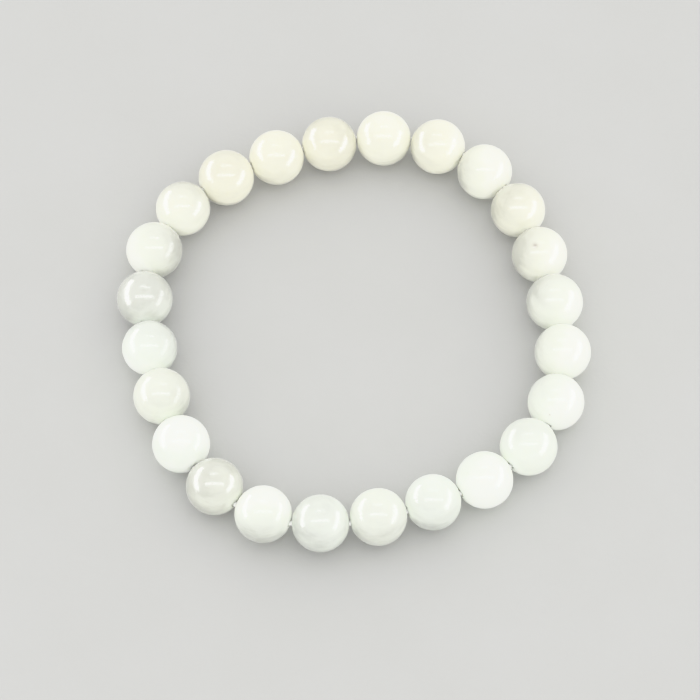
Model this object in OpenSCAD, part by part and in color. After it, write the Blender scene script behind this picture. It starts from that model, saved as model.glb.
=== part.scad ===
// Stretch bracelet: round polished stone beads, drilled through and strung on one elastic cord.
// It lies flat in a closed loop, as a soft string does when it is laid down.
// Origin: the middle of the loop, on the surface it lies on. +Z is up and +Y points to the back.
// Beads are numbered clockwise as seen from above, and bead 1 is at the back.

/* [Beads] */
// How many beads are on the string
bead_count = 24; // [20:1:28]
// Diameter the beads are sold as
bead_d = 8; // [7:0.5:10]
// Running gap between two neighbours
bead_gap = 0.05; // [0.03:0.01:0.12]
// Diameter of the hole drilled through a bead
bore_d = 1.1; // [1:0.1:1.3]
// Diameter of the broken edge at each mouth of the hole
mouth_d = 1.5; // [1.4:0.1:1.8]

/* [Loop] */
// How much the loop is drawn out one way, as a share of its radius
oval = 0.023; // [0:0.001:0.03]
// Bearing of the long way of the loop, in degrees clockwise from +Y
oval_bearing = 5; // [0:5:175]
// How much the loop bulges at its four soft corners, as a share of its radius
squareness = 0.037; // [0:0.001:0.04]
// Bearing of the first soft corner
corner_bearing = 29; // [0:1:89]
// Bearing of the first bead
first_bearing = 8.3; // [0:0.1:14]

/* [Elastic cord] */
// Diameter of the elastic cord
cord_d = 0.7; // [0.4:0.1:0.8]

/* [Hidden] */
// Beads ground a little off the size they are sold as: bead number, millimetres over
OFF_SIZE = [
    [4, -0.1],
    [6, 0.1],
    [9, 0.1],
    [11, -0.2],
    [16, 0.1],
    [18, -0.15],
    [20, 0.1],
    [21, -0.1],
    [22, 0.1],
];

// The stone comes in three grades, and the beads not named here are white and nearly opaque
GREY_BEADS = [2, 13, 15, 19, 21, 22, 23, 24];
CREAM_BEADS = [4, 5, 17, 20];
WHITE = "#f3f5ef";
GREY = "#e3e6e4";
CREAM = "#eceddd";
ELASTIC = "#f4f6f6";

// Sides of the round faces, which are exact surfaces, and of the cord, which is faceted
ROUND = 96;
CORD_SIDES = 8;
// How far along the hole the cord runs straight each way from the bead's middle, as a share of its diameter
CORD_STRAIGHT = 0.38;
// Halvings that bring a searched value to well under a thousandth of a millimetre
HALVINGS = 26;

function is_in(list, n) = len([for (item = list) if (item == n) item]) > 0;
function bead_name(n) = str("bead_", n < 10 ? "0" : "", n);
// The bead number that n means when it runs past either end of the string
function around(n) = (n - 1 + bead_count) % bead_count + 1;

// Sizes of the beads, and the distance from bead n to the next one
function oversize(n) =
    let (hit = [for (row = OFF_SIZE) if (row[0] == n) row[1]])
    len(hit) > 0 ? hit[0] : 0;
function diameter(n) = bead_d + oversize(around(n));
function pitch(n) = (diameter(n) + diameter(n + 1)) / 2 + bead_gap;

// The plan of the loop: a softly squared oval of a mean radius, at a bearing t
function loop_point(mean, t) =
    mean
    * (1 + oval * cos(2 * (t - oval_bearing)) + squareness * cos(4 * (t - corner_bearing)))
    * [sin(t), cos(t)];

// The bearing past t at which the loop is one pitch away from its point at t
function next_bearing(mean, t, step, low, high, left = HALVINGS) =
    let (middle = (low + high) / 2)
    left == 0 ? middle
    : norm(loop_point(mean, middle) - loop_point(mean, t)) < step
        ? next_bearing(mean, t, step, middle, high, left - 1)
        : next_bearing(mean, t, step, low, middle, left - 1);

// Bearings of the beads from n on, and last the one at which the string comes round
function bearings(mean, n = 1, t = first_bearing) =
    n > bead_count ? [t]
    : concat([t], bearings(mean, n + 1, next_bearing(mean, t, pitch(n), t, t + 60)));

// The mean radius at which the string just closes
function closing_radius(low, high, left = HALVINGS) =
    let (middle = (low + high) / 2)
    left == 0 ? middle
    : bearings(middle)[bead_count] > first_bearing + 360
        ? closing_radius(middle, high, left - 1)
        : closing_radius(low, middle, left - 1);

girth_radius = bead_count * bead_d / (2 * PI);
mean_radius = closing_radius(0.9 * girth_radius, 1.2 * girth_radius);
plan = [for (t = bearings(mean_radius)) loop_point(mean_radius, t)];

// Half the sum of the loop's two ends along axis 0 or 1, which puts the origin in its middle
function middle_of(axis) =
    let (
        highest = max([for (n = [1:bead_count]) plan[n - 1][axis] + diameter(n) / 2]),
        lowest = min([for (n = [1:bead_count]) plan[n - 1][axis] - diameter(n) / 2])
    )
    (highest + lowest) / 2;
offset = [middle_of(0), middle_of(1)];

CENTRES = [
    for (n = [1:bead_count])
        [plan[n - 1].x - offset.x, plan[n - 1].y - offset.y, diameter(n) / 2]
];
function centre(n) = CENTRES[around(n) - 1];

// Level unit vector from point a to point b, the same turned a quarter to the left, and its angle from +X
function level_way(a, b) = let (run = [b.x - a.x, b.y - a.y, 0]) run / norm(run);
function left_of(way) = [-way.y, way.x, 0];
function angle_of(way) = atan2(way.y, way.x);

// The hole of bead n points along the string, midway between its two neighbours
function bore_way(n) = level_way(centre(n - 1), centre(n + 1));
// Where the cord crosses from bead n to the next: between the two holes' axes
function crossing(n) =
    let (half = pitch(n) / 2)
    (centre(n) + half * bore_way(n) + centre(n + 1) - half * bore_way(n + 1)) / 2;

// A bead's drill: the hole with a chamfer that opens towards each mouth, along Z
module drill(d) {
    bore_r = bore_d / 2;
    chamfer = (mouth_d - bore_d) / 2;
    edge = sqrt(d * d - mouth_d * mouth_d) / 2 - chamfer;
    past = d - edge;
    rotate_extrude($fn = ROUND)
        polygon([
            [0, -edge - past],
            [bore_r + past, -edge - past],
            [bore_r, -edge],
            [bore_r, edge],
            [bore_r + past, edge + past],
            [0, edge + past],
        ]);
}

module bead(n) {
    stone = is_in(GREY_BEADS, n) ? GREY : is_in(CREAM_BEADS, n) ? CREAM : WHITE;
    color(stone)
        translate(centre(n))
        rotate([0, 90, angle_of(bore_way(n))])
        difference() {
            sphere(d = diameter(n), $fn = ROUND);
            drill(diameter(n));
        }
}

// One ring of the cord's skin, round a point and square to the way it runs
function cord_ring(point, way) = [
    for (side = [0:CORD_SIDES - 1])
        let (turn = 360 * (side + 0.5) / CORD_SIDES)
        point + cord_d / 2 * (cos(turn) * left_of(way) + sin(turn) * [0, 0, 1])
];

module elastic_cord() {
    rings = [
        for (n = [1:bead_count])
            let (
                way = bore_way(n),
                straight = CORD_STRAIGHT * diameter(n) * way,
                across = level_way(centre(n), centre(n + 1))
            )
            each [
                cord_ring(centre(n) - straight, way),
                cord_ring(centre(n) + straight, way),
                cord_ring(crossing(n), across),
            ]
    ];
    points = [for (ring = rings) each ring];
    total = len(points);
    faces = [
        for (ring = [0:len(rings) - 1], side = [0:CORD_SIDES - 1])
            let (
                here = ring * CORD_SIDES,
                beside = (side + 1) % CORD_SIDES,
                near_a = here + side,
                near_b = here + beside,
                far_a = (near_a + CORD_SIDES) % total,
                far_b = (near_b + CORD_SIDES) % total
            )
            each [[near_a, near_b, far_b], [near_a, far_b, far_a]]
    ];
    color(ELASTIC) polyhedron(points, faces);
}

for (n = [1:bead_count])
    bead(n);
elastic_cord();
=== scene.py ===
"""Beaded stretch bracelet: 24 polished milky stone beads strung on white stranded elastic.

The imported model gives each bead's place and size. Geometry Nodes turn a bead's section round its
drilled hole and lay the strands of the elastic along its path. The stones differ by a short table.
Lengths are in metres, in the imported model's own frame, and MM turns millimetres into them.
"""

import math
from collections import namedtuple

import bpy
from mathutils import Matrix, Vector


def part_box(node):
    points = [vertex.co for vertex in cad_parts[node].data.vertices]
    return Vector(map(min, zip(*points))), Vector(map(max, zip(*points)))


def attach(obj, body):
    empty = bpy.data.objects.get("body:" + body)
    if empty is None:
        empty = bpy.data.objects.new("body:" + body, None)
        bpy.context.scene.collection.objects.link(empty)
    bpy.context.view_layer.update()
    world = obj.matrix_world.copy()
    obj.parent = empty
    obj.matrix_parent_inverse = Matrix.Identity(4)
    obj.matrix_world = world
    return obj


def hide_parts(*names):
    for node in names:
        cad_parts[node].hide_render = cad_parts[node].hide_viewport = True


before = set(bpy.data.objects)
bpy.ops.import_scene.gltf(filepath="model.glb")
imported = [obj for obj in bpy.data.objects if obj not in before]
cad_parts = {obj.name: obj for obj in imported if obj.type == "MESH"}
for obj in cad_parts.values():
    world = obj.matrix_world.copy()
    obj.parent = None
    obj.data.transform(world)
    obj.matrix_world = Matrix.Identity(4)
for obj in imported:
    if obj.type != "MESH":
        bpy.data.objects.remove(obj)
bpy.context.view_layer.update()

MM = 0.001

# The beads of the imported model, numbered clockwise from the back as seen from above
BEADS = sorted(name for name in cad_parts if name.startswith("bead_"))
BOXES = [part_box(name) for name in BEADS]

# Radii of the drilled hole and the elastic, and how far along each hole the elastic runs straight
# each way from the bead's middle, as a share of the bead's diameter. The part's source has the same.
BORE_R = 0.55 * MM
CORD_R = 0.35 * MM
CORD_STRAIGHT = 0.38

# The hole's lip is rounded by the tumbling
LIP_R = 0.07 * MM

# Steps of a bead's turn round its hole, and of its section: over the ball, round each lip, down the wall
AROUND = 96
BALL_STEPS = 52
LIP_STEPS = 6
WALL_STEPS = 4

# A ball ground by machine is up to this much too low, in broad patches of this size
UNEVEN = 0.015 * MM
PATCH = 3.3 * MM

# Small natural pits by bead number: the way from the bead's middle, the width and depth, and how
# strongly grime stains the pit, from 0 to 1
Pit = namedtuple("Pit", "way width depth stain")
PITS = {
    5: Pit((-0.21, -0.165, 0.965), 1.5 * MM, 0.13 * MM, 0.8),
    8: Pit((-0.27, -0.79, 0.55), 0.5 * MM, 0.05 * MM, 1.0),
}
NO_PIT = Pit((0.0, 0.0, -1.0), 0.5 * MM, 0.0, 0.0)

# The elastic: six strands laid round a seventh, their turns in one round of the bracelet, and how
# finely they are made
STRANDS = 7
STRAND_R = 0.125 * MM
LAY_TURNS = 36.0
STRAND_SIDES = 7
STRAND_STEP = 0.5 * MM

# The stones, bead 1 to bead 24. milk: share of dense white in the stone. The rest is clearer and
# greyer, and a share below nought leaves only the densest of its clouds white. warm: share of cream
# tint. side: bearing of the side painted whitest, in degrees clockwise from the back. lean: how much
# milkier it is painted there than in the middle. This is partly the stone's own milkier side and
# partly painted light and shade: the bead is lighter on that side and darker across from it.
Stone = namedtuple("Stone", "milk warm side lean")
STONES = [
    Stone(0.85, 0.60, 0, 0.30),
    Stone(0.65, 0.65, 95, 0.50),
    Stone(0.96, 0.40, 90, 1.00),
    Stone(0.36, 0.60, 122, 0.50),
    Stone(0.58, 0.40, 108, 1.00),
    Stone(0.48, 0.20, 120, 0.80),
    Stone(1.00, 0.20, 105, 0.90),
    Stone(0.85, 0.10, 130, 0.60),
    Stone(0.55, 0.05, 160, 0.20),
    Stone(1.00, 0.05, 150, 0.30),
    Stone(0.60, 0.00, 20, 0.40),
    Stone(0.50, 0.15, 15, 0.30),
    Stone(0.34, 0.00, 45, 0.20),
    Stone(1.00, 0.10, 5, 0.90),
    Stone(-0.06, 0.25, 148, 0.34),
    Stone(1.00, 0.00, 0, 0.20),
    Stone(0.40, 0.25, 280, 0.25),
    Stone(0.50, 0.00, 212, 0.50),
    Stone(-0.20, 0.10, 152, 0.60),
    Stone(0.54, 0.25, 257, 0.60),
    Stone(0.40, 0.45, 205, 0.50),
    Stone(0.46, 0.75, 165, 0.10),
    Stone(0.72, 0.70, 350, 0.15),
    Stone(0.26, 0.75, 200, 0.25),
]

# The colours of dense and of clear stone, each cool and with all of its cream tint, and of grime
DENSE_COOL = "#f7fcf3"
DENSE_CREAM = "#fcf8e6"
CLEAR_COOL = "#b4b6b1"
CLEAR_CREAM = "#b5b3a4"
GRIME = "#9a928c"

# The stone's clouds: their size, how many times smaller than that they are along each axis, how
# strongly they vary the milk, the mean of their noise, and how far the pattern is turned and moved on
# from one seed to the next
CLOUD_MM = 4.5
CLOUD_SQUEEZE = (0.8, 1.0, 2.6)
CLOUD_POWER = 1.1
CLOUD_MEAN = 0.5
CLOUD_TURN = Vector((0.7, 1.1, 0.0))
CLOUD_MOVE = 7.0

# Beads whose clouds have a seed of their own. The seed of the others is their place on the string.
CLOUD_SEEDS = {4: 75, 6: 101, 11: 58, 14: 109, 15: 38, 21: 44}

# Stone painted whiter round the hole, partly bruised by drilling and partly painted light that lifts
# the shade at the hole's mouths, where the beads meet: from its lip to where it ends, and how much
# milk it adds
LIP_MM = (BORE_R + LIP_R) / MM
BRUISE_AND_LIGHT_MM = 2.2
BRUISE_AND_LIGHT_MILK = 0.5

# The polish: waves in it, its roughness on the ball and in the hole, and how far from the hole's axis
# the ball's begins
WAVE_MM = 0.9
WAVE_RELIEF = 0.004 * MM
WAVE_ROUGH = 0.06
BALL_ROUGH = 0.16
HOLE_ROUGH = 0.42
POLISHED_MM = 0.75

# The glow inside: its share of the light, how far light scatters in the densest stone, how much
# further in the clearest, and how far red, green and blue go compared with each other
GLOW = 0.6
SCATTER = 1.6 * MM
SCATTER_CLEAR = 3.0 * MM
SCATTER_RGB = (1.0, 0.98, 0.92)

# How strongly the stone bends light, and the pale sheen that lifts its rim
STONE_IOR = 1.54
RIM_SHEEN = 0.4
RIM_SHEEN_ROUGH = 0.25

# The elastic's fibre: its colours, the flecks along it and its satin
FIBRE_SHADE = "#f4f5f3"
FIBRE_WHITE = "#fefefc"
FLECK_MM = 0.5
FIBRE_ROUGH = 0.45
FIBRE_SHEEN = 0.3

# The floor is a sheet of card: half its width in metres, its colours and the size of its pulp clouds
FLOOR_HALF = 4.0
CARD_SHADE = "#c6c6c5"
CARD_PALE = "#cacaca"
PULP = 18 * MM

# The card's tooth, which is about 0.1 mm wide on such card and is drawn wider, so that it shows at all,
# and how dull the card is
TOOTH = 0.6 * MM
TOOTH_RELIEF = 0.03 * MM
TOOTH_STRENGTH = 0.5
CARD_ROUGH_LOW = 0.8
CARD_ROUGH_HIGH = 0.95
CARD_SHINE = 0.2

# The camera's angle above the floor, how far off it stands, what it aims at, and the nearest and the
# farthest that it sees
CAMERA_ELEVATION = math.radians(62)
CAMERA_DISTANCE = 480 * MM
CAMERA_AIM = Vector((-0.40, -1.48, -0.79)) * MM
CAMERA_NEAREST = 10 * MM
CAMERA_FARTHEST = 20.0

# The sensor's width in millimetres, the picture's in pixels, and how many of them a millimetre takes
# where the camera aims
SENSOR = 36.0
PIXELS = 700
PIXELS_PER_MM = 6.963

# How bright the light tent is, and its colour
TENT_STRENGTH = 1.3
TENT_WHITE = "#fdfdfb"

# Beads that the left strip is flagged off, and those for which a scrim dims the right strip
FLAGGED = {3, 4, 5, 6, 7, 8, 10, 20}
SCRIMMED = {17, 18, 19, 20}
UNSCRIMMED = set(range(1, len(BEADS) + 1)) - SCRIMMED

# The studio: soft boxes that face the string. place and size are in metres, and radiance is in watts
# for each square metre and steradian. gives says whether a box lights the stone or shines in its
# polish, and flagged names the beads that it is kept off. The fills at the sides brighten each bead's
# outer side, and the low one in front its shaded side. The overhead tubes draw short level lines in
# the polish, and the strips at the sides long curved ones.
Light = namedtuple("Light", "name place size radiance gives flagged")
RIGHT_STRIP = ((0.16, -0.022, 0.06), (0.21, 0.045))
LIGHTS = [
    Light("fill_top", (0.0, -0.12, 0.5), (0.5, 0.5), 1.2, "fill", set()),
    Light("fill_right", (0.17, 0.05, 0.09), (0.12, 0.08), 3.4, "fill", set()),
    Light("fill_left", (-0.17, 0.03, 0.09), (0.12, 0.08), 2.9, "fill", set()),
    Light("fill_front", (0.0, -0.35, 0.12), (0.5, 0.15), 1.2, "fill", set()),
    Light("tube_front", (0.0, -0.153, 0.5), (0.8, 0.05), 28.0, "gloss", set()),
    Light("tube_back", (0.0, 0.221, 0.5), (0.35, 0.035), 22.0, "gloss", set()),
    Light("strip_right", *RIGHT_STRIP, 33.0, "gloss", SCRIMMED),
    Light("strip_right_scrim", *RIGHT_STRIP, 12.0, "gloss", UNSCRIMMED),
    Light("strip_left", (-0.2, 0.05, 0.055), (0.31, 0.06), 35.0, "gloss", FLAGGED),
]

# The places of a Mix node's sockets for colours. Their names won't do: each kind of value repeats them.
MIX_FACTOR = 0
MIX_FIRST = 6
MIX_SECOND = 7
MIX_COLOUR = 2


def linear(code):
    """A colour from its sRGB hex code, as the linear RGBA that shaders take."""
    shares = [int(code[i : i + 2], 16) / 255 for i in (1, 3, 5)]
    return [s / 12.92 if s <= 0.04045 else ((s + 0.055) / 1.055) ** 2.4 for s in shares] + [1.0]


def add(tree, kind, inputs=(), output=0, **settings):
    """Adds a node with its settings, sets or links its inputs, and returns one of its outputs."""
    made = tree.nodes.new(kind)
    for name, value in settings.items():
        setattr(made, name, value)
    for key, value in dict(inputs).items():
        socket = made.inputs[key]
        if isinstance(value, bpy.types.NodeSocket):
            tree.links.new(value, socket)
        else:
            socket.default_value = value
    return made.outputs[output] if len(made.outputs) else None


def new_tree(name, sizes):
    """A Geometry Nodes tree with named inputs. Returns it and its input sockets by name."""
    tree = bpy.data.node_groups.new(name, "GeometryNodeTree")
    tree.interface.new_socket("Geometry", in_out="OUTPUT", socket_type="NodeSocketGeometry")
    tree.interface.new_socket("Geometry", in_out="INPUT", socket_type="NodeSocketGeometry")
    for label, kind in sizes.items():
        tree.interface.new_socket(label, in_out="INPUT", socket_type="NodeSocket" + kind)
    entry = tree.nodes.new("NodeGroupInput")
    return tree, {socket.name: socket for socket in entry.outputs if socket.name}


def finish_tree(tree, geometry, material):
    """Ends a tree: smooth faces, real geometry and its material."""
    smooth = add(tree, "GeometryNodeSetShadeSmooth", {"Geometry": geometry})
    real = add(tree, "GeometryNodeRealizeInstances", {"Geometry": smooth})
    dressed = add(tree, "GeometryNodeSetMaterial", {"Geometry": real, "Material": material})
    add(tree, "NodeGroupOutput", {0: dressed})


def closed_line(name, points):
    """A closed line through these points, for a tree to start from."""
    curve = bpy.data.curves.new(name, "CURVE")
    curve.dimensions = "3D"
    line = curve.splines.new("POLY")
    line.points.add(len(points) - 1)
    for spot, point in zip(line.points, points):
        spot.co = (*point, 1.0)
    line.use_cyclic_u = True
    return curve


def grow(name, tree, start, values):
    """Runs a tree on a start line with these inputs, and keeps the result as a plain mesh."""
    host = bpy.data.objects.new(name + "_line", start)
    bpy.context.scene.collection.objects.link(host)
    modifier = host.modifiers.new("grow", "NODES")
    modifier.node_group = tree
    for item in tree.interface.items_tree:
        if item.in_out == "INPUT" and item.name in values:
            modifier[item.identifier] = values[item.name]
    depsgraph = bpy.context.evaluated_depsgraph_get()
    mesh = bpy.data.meshes.new_from_object(host.evaluated_get(depsgraph), depsgraph=depsgraph)
    bpy.data.objects.remove(host)
    mesh.name = name
    piece = bpy.data.objects.new(name, mesh)
    bpy.context.scene.collection.objects.link(piece)
    return piece


def centre(n):
    """The middle of the bead at place n, counted round the string from 0."""
    low, high = BOXES[n % len(BEADS)]
    return (low + high) / 2


def diameter(n):
    """The height of bead n, which is that of its whole ball, because its hole lies level."""
    low, high = BOXES[n % len(BEADS)]
    return high.z - low.z


def bore_way(n):
    """The level way in which the hole of bead n runs: from the bead before it to the one after."""
    way = centre(n + 1) - centre(n - 1)
    return Vector((way.x, way.y, 0)).normalized()


def crossing(n):
    """Where the elastic passes from bead n to the next: midway between the ends of their holes."""
    half = (centre(n + 1) - centre(n)).length / 2
    return (centre(n) + half * bore_way(n) + centre(n + 1) - half * bore_way(n + 1)) / 2


def arc(middle, radius, start, end, steps):
    """Points along an arc, without its last one."""
    angles = [start + (end - start) * step / steps for step in range(steps)]
    return [middle + radius * Vector((math.cos(a), math.sin(a))) for a in angles]


def bead_section(ball_r):
    """Half a bead cut through its hole: x from the hole's axis, y along it.

    Each lip is an arc that runs smoothly into the ball and into the hole's wall.
    """
    lip_x = BORE_R + LIP_R
    lip_y = math.sqrt((ball_r - LIP_R) ** 2 - lip_x**2)
    touch = math.atan2(lip_y, lip_x)
    upper = Vector((lip_x, lip_y))
    lower = Vector((lip_x, -lip_y))
    wall = [Vector((BORE_R, lip_y * (1 - 2 * step / WALL_STEPS))) for step in range(WALL_STEPS)]
    return (
        arc(Vector((0, 0)), ball_r, -touch, touch, BALL_STEPS)
        + arc(upper, LIP_R, touch, math.pi, LIP_STEPS)
        + wall
        + arc(lower, LIP_R, math.pi, 2 * math.pi - touch, LIP_STEPS)
    )


def bead_grinding(tree, size, outward):
    """How each point of a bead is ground inward, and how near its pit's middle it is, from 0 to 1."""
    # The ball is low by up to Uneven in broad patches
    patch = add(
        tree,
        "ShaderNodeTexNoise",
        {"Vector": outward, "W": size["Seed"], "Scale": size["Patches"], "Detail": 0.0},
        noise_dimensions="4D",
    )
    low = add(tree, "ShaderNodeMath", {0: patch, 1: size["Uneven"]}, operation="MULTIPLY")

    # A pit is a smooth dimple round its own way out of the bead
    from_pit = add(
        tree,
        "ShaderNodeVectorMath",
        {0: outward, 1: size["Pit Way"]},
        "Value",
        operation="DISTANCE",
    )
    pit = add(
        tree,
        "ShaderNodeMapRange",
        {
            "Value": from_pit,
            "From Min": 0.0,
            "From Max": size["Pit Reach"],
            "To Min": 1.0,
            "To Max": 0.0,
        },
        interpolation_type="SMOOTHSTEP",
    )
    sunk = add(
        tree, "ShaderNodeMath", {0: pit, 1: size["Pit Depth"], 2: low}, operation="MULTIPLY_ADD"
    )
    inward = add(tree, "ShaderNodeMath", {0: sunk, 1: -1.0}, operation="MULTIPLY")
    drop = add(tree, "ShaderNodeVectorMath", {0: outward, "Scale": inward}, operation="SCALE")
    return drop, pit


def bead_tree():
    """A drilled bead: its section turned round the hole, ground, pitted and put in its place."""
    tree, size = new_tree(
        "turned_bead",
        {
            "Turning Radius": "Float",
            "Turn": "Vector",
            "Uneven": "Float",
            "Patches": "Float",
            "Seed": "Float",
            "Pit Way": "Vector",
            "Pit Reach": "Float",
            "Pit Depth": "Float",
            "Pit Stain": "Float",
            "Bore Way": "Vector",
            "Centre": "Vector",
            "Stone": "Material",
        },
    )
    ring = add(
        tree,
        "GeometryNodeCurvePrimitiveCircle",
        {"Resolution": AROUND, "Radius": size["Turning Radius"]},
    )
    turned = add(
        tree, "GeometryNodeCurveToMesh", {"Curve": ring, "Profile Curve": size["Geometry"]}
    )
    aimed = add(tree, "GeometryNodeTransform", {"Geometry": turned, "Rotation": size["Turn"]})
    place = add(tree, "GeometryNodeInputPosition")
    outward = add(tree, "ShaderNodeVectorMath", {0: place}, operation="NORMALIZE")
    drop, pit = bead_grinding(tree, size, outward)
    ground = add(tree, "GeometryNodeSetPosition", {"Geometry": aimed, "Offset": drop})

    # The stone's pattern reads millimetres from the bead's middle and from the hole's axis, and the
    # pit's stain
    in_mm = add(tree, "ShaderNodeVectorMath", {0: place, "Scale": 1 / MM}, operation="SCALE")
    across = add(
        tree, "ShaderNodeVectorMath", {0: in_mm, 1: size["Bore Way"]}, operation="CROSS_PRODUCT"
    )
    off_axis = add(tree, "ShaderNodeVectorMath", {0: across}, "Value", operation="LENGTH")
    marked = add(
        tree,
        "GeometryNodeStoreNamedAttribute",
        {"Geometry": ground, "Name": "in_mm", "Value": in_mm},
        data_type="FLOAT_VECTOR",
    )
    marked = add(
        tree,
        "GeometryNodeStoreNamedAttribute",
        {"Geometry": marked, "Name": "off_axis_mm", "Value": off_axis},
    )
    stain = add(tree, "ShaderNodeMath", {0: pit, 1: size["Pit Stain"]}, operation="MULTIPLY")
    marked = add(
        tree, "GeometryNodeStoreNamedAttribute", {"Geometry": marked, "Name": "stain", "Value": stain}
    )
    placed = add(
        tree, "GeometryNodeTransform", {"Geometry": marked, "Translation": size["Centre"]}
    )
    finish_tree(tree, placed, size["Stone"])
    return tree


def strand_offset(tree, size, number, along):
    """How far a strand lies off the path. Strand 0 is the core, and the others turn evenly round it."""
    outer = add(tree, "ShaderNodeMath", {0: size["Strands"], 1: 1.0}, operation="SUBTRACT")
    share = add(tree, "ShaderNodeMath", {0: number, 1: outer}, operation="DIVIDE")
    turned = add(
        tree, "ShaderNodeMath", {0: along, 1: size["Lay Turns"], 2: share}, operation="MULTIPLY_ADD"
    )
    angle = add(tree, "ShaderNodeMath", {0: turned, 1: 2 * math.pi}, operation="MULTIPLY")
    level = add(tree, "ShaderNodeMath", {0: angle}, operation="COSINE")
    rise = add(tree, "ShaderNodeMath", {0: angle}, operation="SINE")
    normal = add(tree, "GeometryNodeInputNormal")
    tangent = add(tree, "GeometryNodeInputTangent")
    side = add(tree, "ShaderNodeVectorMath", {0: tangent, 1: normal}, operation="CROSS_PRODUCT")
    by_normal = add(tree, "ShaderNodeVectorMath", {0: normal, "Scale": level}, operation="SCALE")
    by_side = add(tree, "ShaderNodeVectorMath", {0: side, "Scale": rise}, operation="SCALE")
    way = add(tree, "ShaderNodeVectorMath", {0: by_normal, 1: by_side}, operation="ADD")

    # The radius is nought for the core alone
    laid_out = add(tree, "ShaderNodeMath", {0: number, 1: 1.0}, operation="MINIMUM")
    radius = add(tree, "ShaderNodeMath", {0: laid_out, 1: size["Lay Radius"]}, operation="MULTIPLY")
    return add(tree, "ShaderNodeVectorMath", {0: way, "Scale": radius}, operation="SCALE")


def elastic_tree():
    """Stranded elastic: copies of its path, moved off it and turned along it, round one that stays."""
    tree, size = new_tree(
        "laid_elastic",
        {
            "Step": "Float",
            "Strands": "Int",
            "Lay Radius": "Float",
            "Strand Radius": "Float",
            "Lay Turns": "Float",
            "Strand Sides": "Int",
            "Elastic": "Material",
        },
    )
    path = add(
        tree,
        "GeometryNodeResampleCurve",
        {"Curve": size["Geometry"], "Length": size["Step"]},
        mode="LENGTH",
    )
    upright = add(tree, "GeometryNodeSetCurveNormal", {"Curve": path}, mode="Z_UP")
    copies = add(
        tree,
        "GeometryNodeDuplicateElements",
        {"Geometry": upright, "Amount": size["Strands"]},
        domain="SPLINE",
    )
    number = copies.node.outputs["Duplicate Index"]
    along = add(tree, "GeometryNodeSplineParameter")
    offset = strand_offset(tree, size, number, along)
    laid = add(tree, "GeometryNodeSetPosition", {"Geometry": copies, "Offset": offset})

    # The fibre's flecks read millimetres along the strand
    length = along.node.outputs["Length"]
    run = add(tree, "ShaderNodeMath", {0: length, 1: 1 / MM}, operation="MULTIPLY")
    marked = add(
        tree, "GeometryNodeStoreNamedAttribute", {"Geometry": laid, "Name": "run_mm", "Value": run}
    )
    strand = add(
        tree,
        "GeometryNodeCurvePrimitiveCircle",
        {"Resolution": size["Strand Sides"], "Radius": size["Strand Radius"]},
    )
    spun = add(tree, "GeometryNodeCurveToMesh", {"Curve": marked, "Profile Curve": strand})
    finish_tree(tree, spun, size["Elastic"])
    return tree


def milk_and_painted_light(tree, n, stone, place, off_axis):
    """The share of dense white stone at each point of bead n. Part of it is painted light and shade."""
    # Faint clouds a few millimetres across, flattened like the bands of the rough stone
    seed = CLOUD_SEEDS.get(n + 1, n)
    turned = add(
        tree,
        "ShaderNodeMapping",
        {"Vector": place, "Rotation": seed * CLOUD_TURN, "Scale": CLOUD_SQUEEZE},
    )
    cloud = add(
        tree,
        "ShaderNodeTexNoise",
        {
            "Vector": turned,
            "W": seed * CLOUD_MOVE,
            "Scale": 1 / CLOUD_MM,
            "Detail": 4.0,
            "Roughness": 0.6,
        },
        noise_dimensions="4D",
    )
    drift = add(
        tree,
        "ShaderNodeMath",
        {0: cloud, 1: CLOUD_POWER, 2: stone.milk - CLOUD_POWER * CLOUD_MEAN},
        operation="MULTIPLY_ADD",
    )

    # One side of the stone is painted milkier: partly its own milkier side, partly painted light and
    # shade that make that side lighter
    bearing = math.radians(stone.side)
    lighter_way = Vector((math.sin(bearing), math.cos(bearing), 0))
    towards = add(
        tree, "ShaderNodeVectorMath", {0: place, 1: lighter_way}, "Value", operation="DOT_PRODUCT"
    )
    lean_and_light_per_mm = stone.lean / (diameter(n) / 2 / MM)
    leaned = add(
        tree, "ShaderNodeMath", {0: towards, 1: lean_and_light_per_mm, 2: drift}, operation="MULTIPLY_ADD"
    )

    # Round its hole the stone is painted whiter: partly bruised by drilling, partly painted light that
    # lifts the shade at the mouths, where the beads meet
    bruise_and_light = add(
        tree,
        "ShaderNodeMapRange",
        {
            "Value": off_axis,
            "From Min": LIP_MM,
            "From Max": BRUISE_AND_LIGHT_MM,
            "To Min": BRUISE_AND_LIGHT_MILK,
            "To Max": 0.0,
        },
        interpolation_type="SMOOTHSTEP",
    )
    return add(tree, "ShaderNodeMath", {0: leaned, 1: bruise_and_light}, operation="ADD", use_clamp=True)


def stone_colour(tree, stone, milk):
    """Clear and dense stone mixed by the milk and its painted light, each with the stone's cream tint,
    and grime in its pit.
    """
    dense = add(
        tree,
        "ShaderNodeMix",
        {MIX_FACTOR: stone.warm, MIX_FIRST: linear(DENSE_COOL), MIX_SECOND: linear(DENSE_CREAM)},
        MIX_COLOUR,
        data_type="RGBA",
    )
    clear = add(
        tree,
        "ShaderNodeMix",
        {MIX_FACTOR: stone.warm, MIX_FIRST: linear(CLEAR_COOL), MIX_SECOND: linear(CLEAR_CREAM)},
        MIX_COLOUR,
        data_type="RGBA",
    )
    tint = add(
        tree,
        "ShaderNodeMix",
        {MIX_FACTOR: milk, MIX_FIRST: clear, MIX_SECOND: dense},
        MIX_COLOUR,
        data_type="RGBA",
    )
    stain = add(tree, "ShaderNodeAttribute", output="Fac", attribute_name="stain")
    return add(
        tree,
        "ShaderNodeMix",
        {MIX_FACTOR: stain, MIX_FIRST: tint, MIX_SECOND: linear(GRIME)},
        MIX_COLOUR,
        data_type="RGBA",
    )


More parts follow.
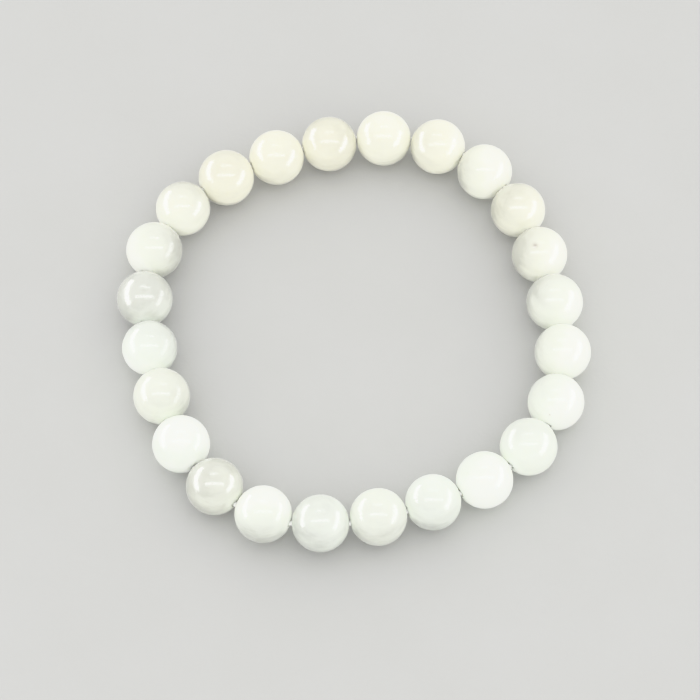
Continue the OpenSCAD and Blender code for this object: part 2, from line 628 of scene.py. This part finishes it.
def stone_material(n, stone):
    """Milky quartz-like stone, tumble-polished: an inner glow, faint clouds and sharp reflections."""
    material = bpy.data.materials.new("milky_stone_tumble_polished_%02d" % (n + 1))
    material.use_nodes = True
    tree = material.node_tree
    shader = tree.nodes["Principled BSDF"]
    place = add(tree, "ShaderNodeAttribute", output="Vector", attribute_name="in_mm")
    off_axis = add(tree, "ShaderNodeAttribute", output="Fac", attribute_name="off_axis_mm")
    milk = milk_and_painted_light(tree, n, stone, place, off_axis)
    tree.links.new(stone_colour(tree, stone, milk), shader.inputs["Base Color"])

    # The polish is a little wavy and uneven, and dull in the hole and at its mouths
    wave = add(tree, "ShaderNodeTexNoise", {"Vector": place, "Scale": 1 / WAVE_MM, "Detail": 1.0})
    polish = add(
        tree,
        "ShaderNodeMapRange",
        {
            "Value": off_axis,
            "From Min": LIP_MM,
            "From Max": POLISHED_MM,
            "To Min": HOLE_ROUGH,
            "To Max": BALL_ROUGH,
        },
    )
    rough = add(
        tree, "ShaderNodeMath", {0: wave, 1: WAVE_ROUGH, 2: polish}, operation="MULTIPLY_ADD"
    )
    tree.links.new(rough, shader.inputs["Roughness"])
    skin = add(tree, "ShaderNodeBump", {"Height": wave, "Distance": WAVE_RELIEF})
    tree.links.new(skin, shader.inputs["Normal"])
    shader.inputs["IOR"].default_value = STONE_IOR
    shader.inputs["Subsurface Weight"].default_value = GLOW
    shader.inputs["Subsurface Radius"].default_value = SCATTER_RGB
    shader.inputs["Subsurface Scale"].default_value = SCATTER + SCATTER_CLEAR * (1.0 - stone.milk) ** 2
    shader.inputs["Sheen Weight"].default_value = RIM_SHEEN
    shader.inputs["Sheen Roughness"].default_value = RIM_SHEEN_ROUGH
    return material


def elastic_material():
    """Stretch elastic of spun white fibre: satin, and faintly flecked along its strands."""
    material = bpy.data.materials.new("elastic_spun_white_fibre")
    material.use_nodes = True
    tree = material.node_tree
    shader = tree.nodes["Principled BSDF"]
    run = add(tree, "ShaderNodeAttribute", output="Fac", attribute_name="run_mm")
    fleck = add(
        tree,
        "ShaderNodeTexNoise",
        {"W": run, "Scale": 1 / FLECK_MM, "Detail": 2.0},
        noise_dimensions="1D",
    )
    tint = add(
        tree,
        "ShaderNodeMix",
        {MIX_FACTOR: fleck, MIX_FIRST: linear(FIBRE_SHADE), MIX_SECOND: linear(FIBRE_WHITE)},
        MIX_COLOUR,
        data_type="RGBA",
    )
    tree.links.new(tint, shader.inputs["Base Color"])
    shader.inputs["Roughness"].default_value = FIBRE_ROUGH
    shader.inputs["Sheen Weight"].default_value = FIBRE_SHEEN
    return material


def make_beads():
    """The beads, each turned from its own section and cut from its own stone."""
    tree = bead_tree()
    beads = []
    for n, node in enumerate(BEADS):
        ball_r = diameter(n) / 2
        way = bore_way(n)
        pit = PITS.get(n + 1, NO_PIT)

        # The section is carried round by a ring of the ball's radius, so its x counts from there
        turning = [(x - ball_r, y, 0) for x, y in bead_section(ball_r)]
        piece = grow(
            "stone_" + node,
            tree,
            closed_line("section_" + node, turning),
            {
                "Turning Radius": ball_r,
                "Turn": (0.0, math.pi / 2, math.atan2(way.y, way.x)),
                "Uneven": UNEVEN,
                "Patches": ball_r / PATCH,
                "Seed": float(n),
                "Pit Way": Vector(pit.way).normalized(),
                "Pit Reach": pit.width / 2 / ball_r,
                "Pit Depth": pit.depth,
                "Pit Stain": pit.stain,
                "Bore Way": way,
                "Centre": centre(n),
                "Stone": stone_material(n, STONES[n]),
            },
        )
        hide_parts(node)
        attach(piece, "root")
        beads.append(piece)
    return beads


def make_elastic():
    """The elastic runs straight in the middle of each hole and crosses over between the beads."""
    path = []
    for n in range(len(BEADS)):
        straight = CORD_STRAIGHT * diameter(n) * bore_way(n)
        path += [centre(n) - straight, centre(n) + straight, crossing(n)]
    piece = grow(
        "laid_elastic",
        elastic_tree(),
        closed_line("elastic_path", path),
        {
            "Step": STRAND_STEP,
            "Strands": STRANDS,
            "Lay Radius": CORD_R - STRAND_R,
            "Strand Radius": STRAND_R,
            "Lay Turns": LAY_TURNS,
            "Strand Sides": STRAND_SIDES,
            "Elastic": elastic_material(),
        },
    )
    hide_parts("elastic_cord")
    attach(piece, "root")
    return piece


def make_camera():
    """The camera stands in front of the bracelet and looks down on it."""
    data = bpy.data.cameras.new("camera")
    data.sensor_width = SENSOR
    data.lens = SENSOR * PIXELS_PER_MM * (CAMERA_DISTANCE / MM) / PIXELS
    data.clip_start = CAMERA_NEAREST
    data.clip_end = CAMERA_FARTHEST
    back = Vector((0, -math.cos(CAMERA_ELEVATION), math.sin(CAMERA_ELEVATION)))
    camera = bpy.data.objects.new("camera", data)
    camera.location = CAMERA_AIM + back * CAMERA_DISTANCE
    camera.rotation_mode = "QUATERNION"
    camera.rotation_quaternion = (-back).to_track_quat("-Z", "Y")
    bpy.context.scene.collection.objects.link(camera)
    bpy.context.scene.camera = camera


def make_light(light, pieces):
    """One soft box. It faces the string and lights only these pieces, so the floor stays even."""
    data = bpy.data.lights.new(light.name, "AREA")
    data.shape = "RECTANGLE"
    data.size, data.size_y = light.size
    data.energy = light.radiance * math.pi * data.size * data.size_y
    reach = bpy.data.collections.new(light.name)
    for piece in pieces:
        reach.objects.link(piece)
    box = bpy.data.objects.new(light.name, data)
    box.location = light.place
    box.rotation_mode = "QUATERNION"
    box.rotation_quaternion = (-Vector(light.place)).to_track_quat("-Z", "Y")
    box.visible_camera = False
    box.visible_diffuse = light.gives == "fill"
    box.visible_glossy = light.gives == "gloss"
    box.light_linking.receiver_collection = reach
    bpy.context.scene.collection.objects.link(box)


def make_studio(beads, elastic):
    """An even light tent all round, and the soft boxes in it."""
    world = bpy.data.worlds.new("light_tent")
    bpy.context.scene.world = world
    world.use_nodes = True
    tent = world.node_tree.nodes["Background"]
    tent.inputs["Color"].default_value = linear(TENT_WHITE)
    tent.inputs["Strength"].default_value = TENT_STRENGTH
    bpy.context.scene.view_settings.view_transform = "Khronos PBR Neutral"
    for light in LIGHTS:
        reached = [bead for number, bead in enumerate(beads, 1) if number not in light.flagged]
        make_light(light, reached + [elastic])


def card_material():
    """Uncoated studio card, calendered matt: clouds of pulp and a fine tooth take its flatness off."""
    material = bpy.data.materials.new("card_uncoated_calendered")
    material.use_nodes = True
    tree = material.node_tree
    shader = tree.nodes["Principled BSDF"]
    place = add(tree, "ShaderNodeTexCoord", output="Object")
    pulp = add(
        tree,
        "ShaderNodeTexNoise",
        {"Vector": place, "Scale": 1 / PULP, "Detail": 3.0, "Roughness": 0.6},
    )
    tint = add(
        tree,
        "ShaderNodeMix",
        {MIX_FACTOR: pulp, MIX_FIRST: linear(CARD_SHADE), MIX_SECOND: linear(CARD_PALE)},
        MIX_COLOUR,
        data_type="RGBA",
    )
    tree.links.new(tint, shader.inputs["Base Color"])
    tooth = add(tree, "ShaderNodeTexNoise", {"Vector": place, "Scale": 1 / TOOTH, "Detail": 2.0})
    relief = add(
        tree,
        "ShaderNodeBump",
        {"Height": tooth, "Strength": TOOTH_STRENGTH, "Distance": TOOTH_RELIEF},
    )
    tree.links.new(relief, shader.inputs["Normal"])
    rough = add(
        tree,
        "ShaderNodeMapRange",
        {"Value": tooth, "To Min": CARD_ROUGH_LOW, "To Max": CARD_ROUGH_HIGH},
    )
    tree.links.new(rough, shader.inputs["Roughness"])
    shader.inputs["Specular IOR Level"].default_value = CARD_SHINE
    return material


def make_floor():
    """A plain square of card that the bracelet lies on."""
    floor = bpy.data.objects.new("floor", bpy.data.meshes.new("floor"))
    corners = [(x * FLOOR_HALF, y * FLOOR_HALF, 0) for x, y in ((-1, -1), (1, -1), (1, 1), (-1, 1))]
    floor.data.from_pydata(corners, [], [(0, 1, 2, 3)])
    floor.data.materials.append(card_material())
    bpy.context.scene.collection.objects.link(floor)


make_camera()
make_floor()
make_studio(make_beads(), make_elastic())
